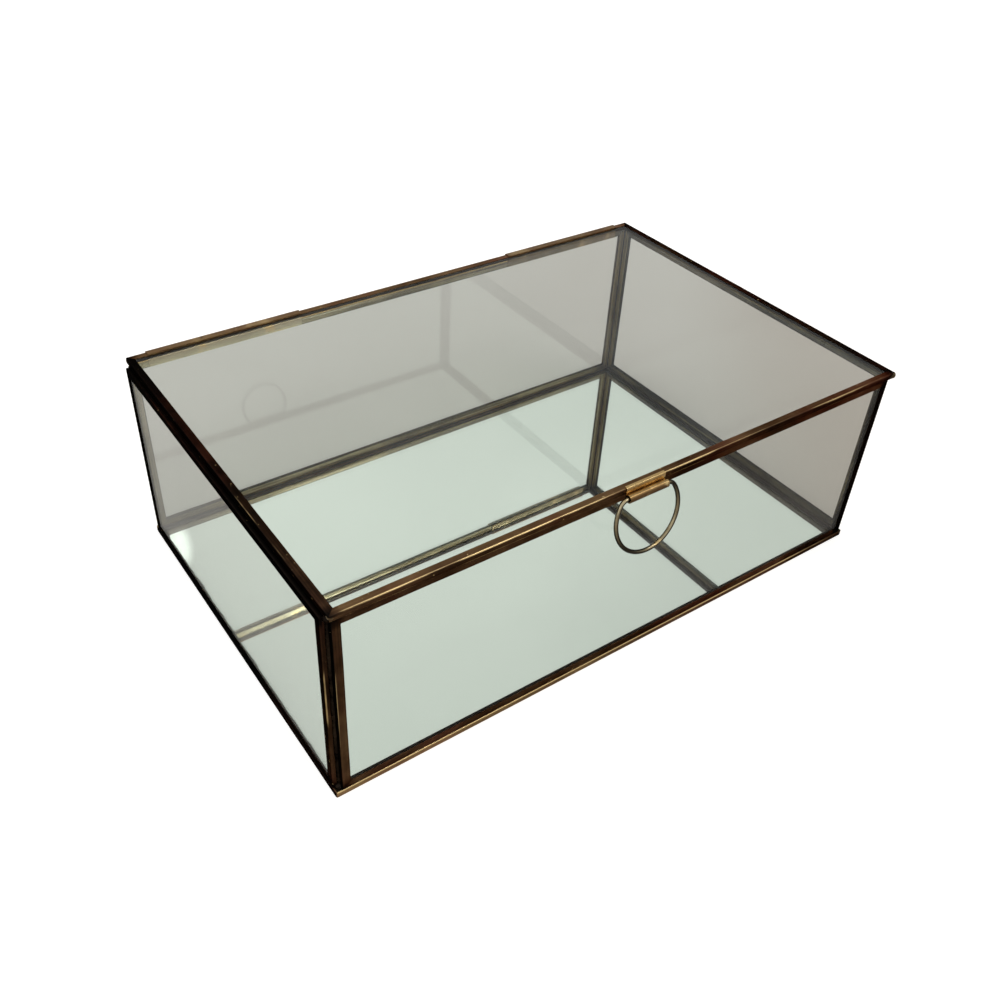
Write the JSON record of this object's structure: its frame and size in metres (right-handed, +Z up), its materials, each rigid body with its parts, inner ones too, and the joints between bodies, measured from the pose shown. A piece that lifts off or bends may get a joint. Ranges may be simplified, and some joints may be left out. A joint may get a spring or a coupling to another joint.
{
  "type": "glass casket box",
  "caption": "Low rectangular display casket of clear glass panes edged in aged brass channel, with a mirror floor, a hinged glass lid and a ring pull.",
  "frame": {"origin": "on the plane that the box stands on, in the middle of the ground that it covers with its pull and hinges; the middle of the floor panel is at y = +2.8 mm", "axes": "+X right along the long front, +Y from the front, where the pull is, to the hinges at the back, +Z up"},
  "size_m": [0.25, 0.1707, 0.0851],
  "materials": {
    "aged_brass": "folded sheet, darkened with age, worn to gold along the folds",
    "bright_brass": "rolled sheet and wire, less tarnished, satin",
    "clear_glass": "thin picture glass with a faint grey-green cast",
    "mirror": "silvered picture glass, faint green cast",
    "solder": "dull tin solder, darkened with the brass"
  },
  "bodies": {
    "box": {"base_mirror": "mirror", "base_channel_front": "aged_brass", "base_channel_back": "aged_brass", "base_channel_left": "aged_brass", "base_channel_right": "aged_brass", "front_glass": "clear_glass", "front_channel_top": "aged_brass", "front_channel_bottom": "aged_brass", "front_channel_left": "aged_brass", "front_channel_right": "aged_brass", "back_glass": "clear_glass", "back_channel_top": "aged_brass", "back_channel_bottom": "aged_brass", "back_channel_left": "aged_brass", "back_channel_right": "aged_brass", "left_glass": "clear_glass", "left_channel_top": "aged_brass", "left_channel_bottom": "aged_brass", "left_channel_front": "aged_brass", "left_channel_back": "aged_brass", "right_glass": "clear_glass", "right_channel_top": "aged_brass", "right_channel_bottom": "aged_brass", "right_channel_front": "aged_brass", "right_channel_back": "aged_brass", "left_hinge_box_leaf": "bright_brass", "left_hinge_pin": "bright_brass", "right_hinge_box_leaf": "bright_brass", "right_hinge_pin": "bright_brass", "wall_corner_solder": "solder"},
    "lid": {"lid_glass": "clear_glass", "lid_channel_front": "aged_brass", "lid_channel_back": "aged_brass", "lid_channel_left": "aged_brass", "lid_channel_right": "aged_brass", "left_hinge_lid_leaf": "bright_brass", "right_hinge_lid_leaf": "bright_brass", "pull_hanger": "bright_brass", "lid_corner_solder": "solder"},
    "ring": {"pull_ring": "bright_brass"}
  },
  "joints": [
    {"name": "lid_hinge", "type": "hinge", "parent": "box", "child": "lid", "pos_m": [0, 0.08425, 0.08075], "axis": [-1, 0, 0], "range_deg": [0, 110]},
    {"name": "ring_swing", "type": "hinge", "parent": "lid", "child": "ring", "pos_m": [-0.0063, -0.0802, 0.0813], "axis": [-1, 0, 0], "range_deg": [-15, 169]}
  ]
}
